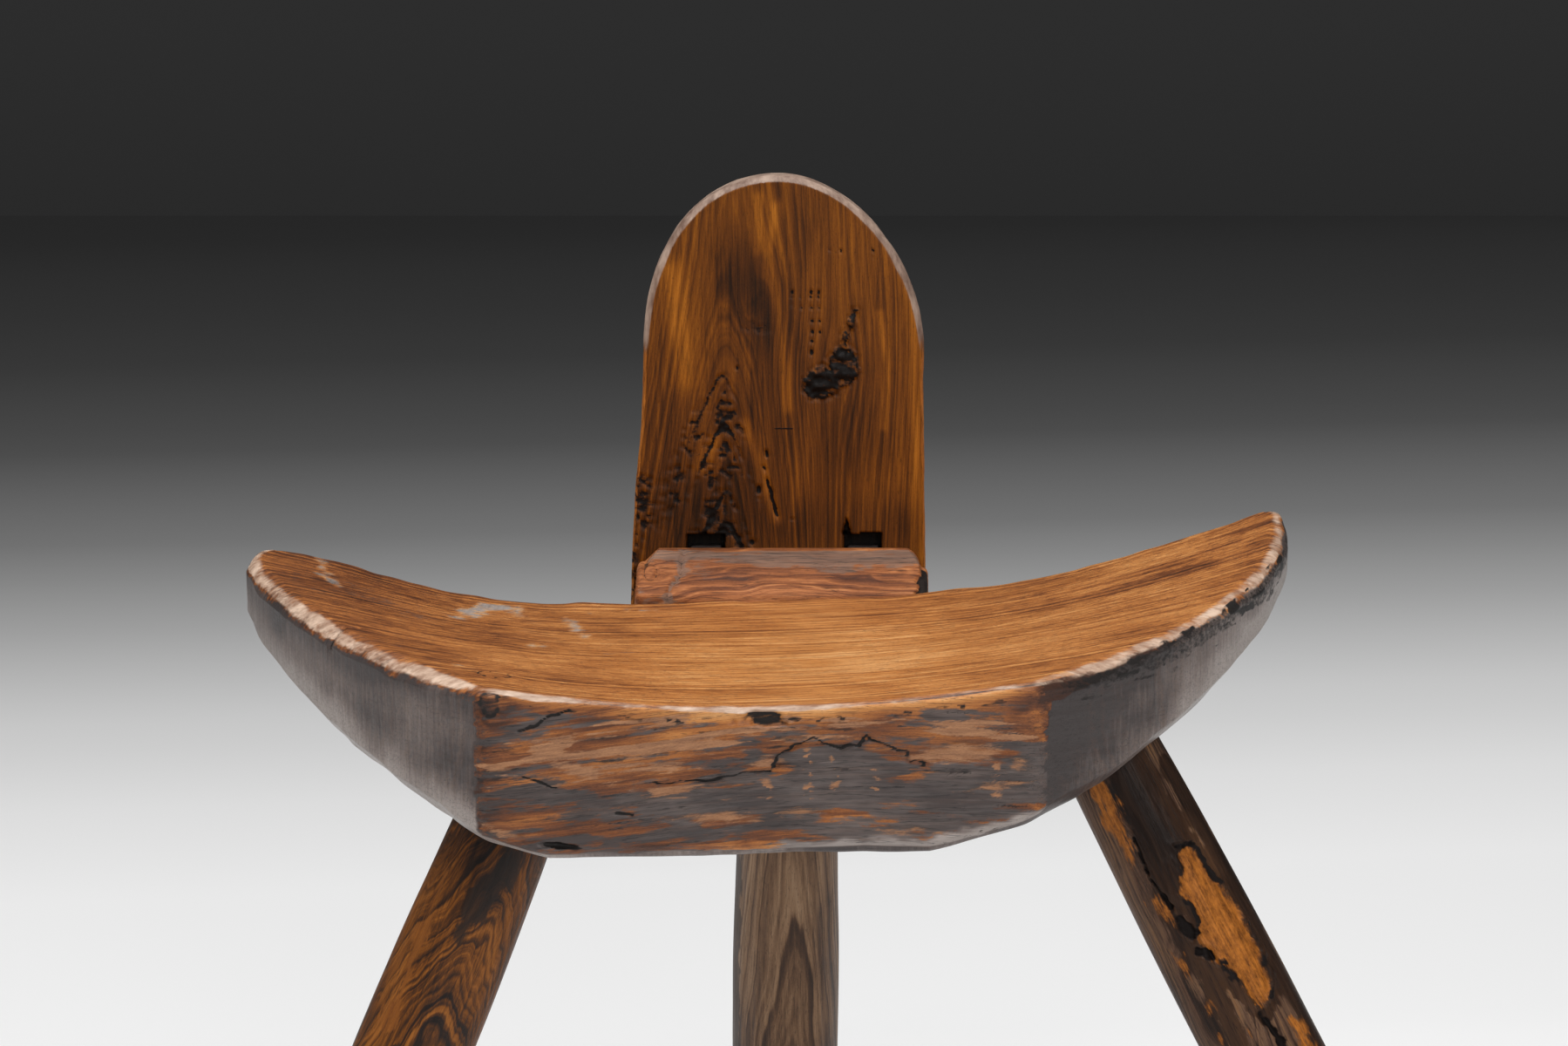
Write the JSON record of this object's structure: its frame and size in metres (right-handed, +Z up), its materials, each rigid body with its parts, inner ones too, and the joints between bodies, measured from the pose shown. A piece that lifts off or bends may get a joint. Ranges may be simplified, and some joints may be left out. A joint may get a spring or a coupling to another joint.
{
  "type": "rustic three-legged chair",
  "caption": "Low hand-hewn wooden chair with a hollowed half-moon seat, an arched backrest board on a block, and splayed round legs.",
  "frame": {"origin": "middle of the object's footprint box, on the floor", "axes": "+Z up, +X to the right hand as seen from the front, +Y from the front towards the backrest"},
  "size_m": [0.6396, 0.3472, 0.5801],
  "materials": {
    "seat_wood": "worn wax polish",
    "block_wood": "dusty wax",
    "board_wood": "waxed, glossy",
    "leg_wood": "waxed, half gloss",
    "wedge_wood": "bare, matt"
  },
  "bodies": {
    "root": {"seat": "seat_wood", "back_block": "block_wood", "backrest_board": "board_wood", "board_wedge_left": "wedge_wood", "board_wedge_right": "wedge_wood", "block_peg_left": "wedge_wood", "block_peg_right": "wedge_wood", "front_left_leg": "leg_wood", "front_right_leg": "leg_wood", "rear_leg": "leg_wood", "front_left_leg_wedge": "wedge_wood", "front_right_leg_wedge": "wedge_wood", "rear_leg_wedge": "wedge_wood"}
  },
  "joints": []
}
